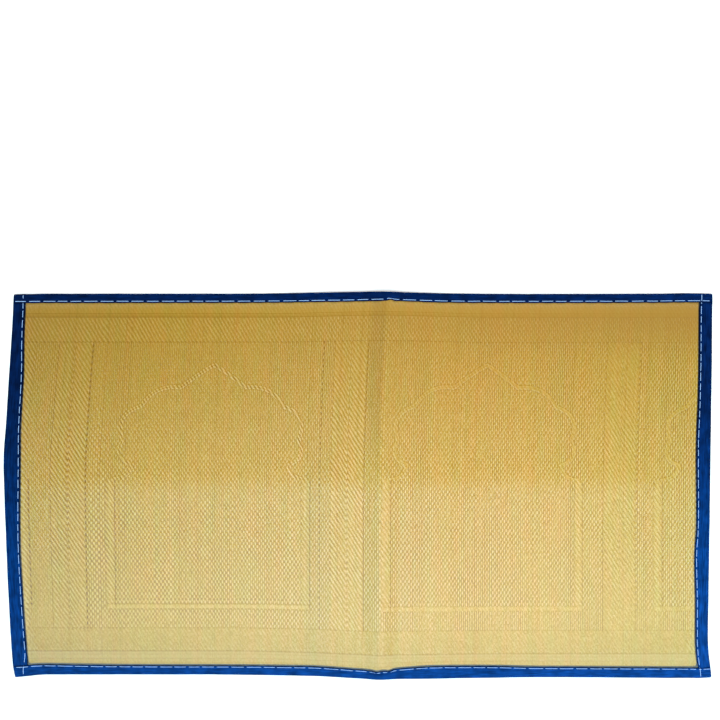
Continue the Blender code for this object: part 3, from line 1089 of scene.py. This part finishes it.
def tape_material():
    """Plain woven cotton tape, dyed blue: matte, with almost no gloss, and streaky along its length."""
    material, t = new_material("plain_woven_blue_cotton")
    cloth = add(t, "Attribute", attribute_name="cloth")
    length, around, share = add(t, "SeparateXYZ", (cloth.outputs["Vector"],)).outputs
    object_place = add(t, "TexCoord").outputs["Object"]
    sideways, front_to_back, _ = add(t, "SeparateXYZ", (object_place,)).outputs
    blue = colour_ramp(t, add(t, "MapRange", (front_to_back, -HALF_WIDTH, HALF_WIDTH)), BLUE_WITH_PAINTED_LIGHT)
    streak_place = add(t, "VectorMath", (cloth.outputs["Vector"], (45.0, 700.0, 1.0)), operation="MULTIPLY")
    streak = add(t, "TexNoise", {"Vector": streak_place, "Scale": 1.0, "Detail": 3.0})
    value = add(t, "MapRange", (streak.outputs[0], 0.3, 0.7, 0.55, 1.45))
    blotch = add(t, "TexNoise", {"Vector": object_place, "Scale": 60.0, "Detail": 2.0})
    blotch_value = add(t, "MapRange", (blotch.outputs[0], 0.3, 0.7, 0.72, 1.28))
    value = add(t, "Math", (value, blotch_value), operation="MULTIPLY")
    # The hem is turned under, and painted shade darkens the cloth where it rolls over, and a little more
    # towards the left
    turned = add(t, "MapRange", (share, 0.91, 1.0, 1.0, 0.15))
    left_shade = add(t, "MapRange", (sideways, -HALF_LENGTH, HALF_LENGTH, 0.74, 1.08))
    for factor in (turned, left_shade):
        value = add(t, "Math", (value, factor), operation="MULTIPLY")
    colour = add(t, "VectorMath", {0: blue, "Scale": value}, operation="SCALE")
    pitch = 0.9 * MM  # the real threads lie 0.5 mm apart, and are drawn coarser so that they show
    waves = []
    for place in (length, around):
        turn = add(t, "Math", (place, math.pi / pitch), operation="MULTIPLY")
        waves.append(add(t, "Math", (turn,), operation="SINE"))
    weave = add(t, "Math", (waves[0], waves[1]), operation="MULTIPLY")
    bump = add(t, "Bump", {"Strength": 0.5, "Distance": 0.2 * MM, "Height": weave})
    shader = add(t, "BsdfPrincipled", {
        "Base Color": colour,
        "Roughness": 0.95,
        "IOR": 1.5,
        "Specular IOR Level": 0.02,
        "Normal": bump,
    })
    finish_material(t, shader)
    return material


def thread_material():
    """White sewing cotton, two plies twisted: matte, and blued by the dye of the tape."""
    material, t = new_material("white_sewing_cotton")
    thread = add(t, "Attribute", attribute_name="thread")
    place = add(t, "SeparateXYZ", (thread.outputs["Vector"],))
    twist = 2 * math.pi / (2.4 * MM)
    turn = add(t, "Math", (place.outputs[0], twist, place.outputs[1]), operation="MULTIPLY_ADD")
    ply = add(t, "Math", (turn,), operation="SINE")
    bump = add(t, "Bump", {"Strength": 0.4, "Distance": 0.2 * MM, "Height": ply})
    shader = add(t, "BsdfPrincipled", {
        "Base Color": linear("#a6c8f8"),
        "Roughness": 0.7,
        "Specular IOR Level": 0.3,
        "Normal": bump,
    })
    finish_material(t, shader)
    return material


def floor_material():
    """White paper: quite matte."""
    material, t = new_material("pale_floor")
    shader = add(t, "BsdfPrincipled", {
        "Base Color": linear("#fbfbfb"),
        "Roughness": 1.0,
        "Specular IOR Level": 0.0,
    })
    finish_material(t, shader)
    return material


# ---- The studio ----

CAMERA_HEIGHT = 2.0
VIEW_WIDTH = 1.2384  # across the picture, at the mat
CAMERA_AT = (3.4 * MM, 214.5 * MM, CAMERA_HEIGHT)


def make_floor():
    bm = bmesh.new()
    bmesh.ops.create_grid(bm, x_segments=1, y_segments=1, size=6.0)
    bmesh.ops.translate(bm, verts=bm.verts, vec=(0, 0, -0.5 * MM))
    mesh = bpy.data.meshes.new("floor")
    bm.to_mesh(mesh)
    bm.free()
    mesh.materials.append(floor_material())
    floor = bpy.data.objects.new("floor", mesh)
    bpy.context.scene.collection.objects.link(floor)


def make_camera():
    camera = bpy.data.cameras.new("camera")
    camera.lens = camera.sensor_width * CAMERA_HEIGHT / VIEW_WIDTH
    holder = bpy.data.objects.new("camera", camera)
    holder.location = CAMERA_AT
    bpy.context.scene.collection.objects.link(holder)
    bpy.context.scene.camera = holder


def make_light(name, place, aim, size, watts, colour):
    light = bpy.data.lights.new(name, "AREA")
    light.shape = "RECTANGLE"
    light.size, light.size_y = size
    light.energy = watts
    light.color = linear(colour)[:3]
    holder = bpy.data.objects.new(name, light)
    holder.location = place
    holder.rotation_euler = (Vector(aim) - Vector(place)).to_track_quat("-Z", "Y").to_euler()
    bpy.context.scene.collection.objects.link(holder)


def make_studio():
    make_floor()
    make_camera()
    world = bpy.data.worlds.new("studio")
    world.use_nodes = True
    background = world.node_tree.nodes["Background"]
    background.inputs["Color"].default_value = (1, 1, 1, 1)
    background.inputs["Strength"].default_value = 0.45
    bpy.context.scene.world = world
    bpy.context.scene.view_settings.view_transform = "Standard"
    make_light("front_softbox", (0.0, -1.14, 3.2), (0.0, 0.0, 0), (5.2, 1.6), 199, "#dcfbff")
    make_light("back_softbox", (0.1, 2.1, 1.7), (0.0, 0.9, 0), (3.0, 1.2), 50, "#ffffff")


def make_mat():
    straw = straw_material()
    thread = thread_material()
    blue = tape_material()
    panel = make_straw_panel(straw)
    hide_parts("straw_panel")
    rows = (
        ("far", FAR, Seam(-0.588, 0.603, FAR_STITCH, 3), True, 1),
        ("near", NEAR, Seam(-0.586, 0.604, NEAR_STITCH, 8, inset=2.2 * MM), True, 2),
        ("left", LEFT, Seam(-0.324, 0.325, LEFT_STITCH, 5, veer=8 * MM), False, 3),
        ("right", RIGHT, Seam(-0.328, 0.328, RIGHT_STITCH, 6), False, 4),
    )
    tapes, threads = [], []
    for side, edge, seam, is_long, seed in rows:
        tape = make_tape(f"tape_{side}", f"binding_{side}", edge, seam, is_long, blue, seed)
        stitches = make_stitches(f"stitches_{side}", edge, seam, is_long, thread, seed)
        tapes.append(tape)
        threads.append(stitches)


make_studio()
make_mat()
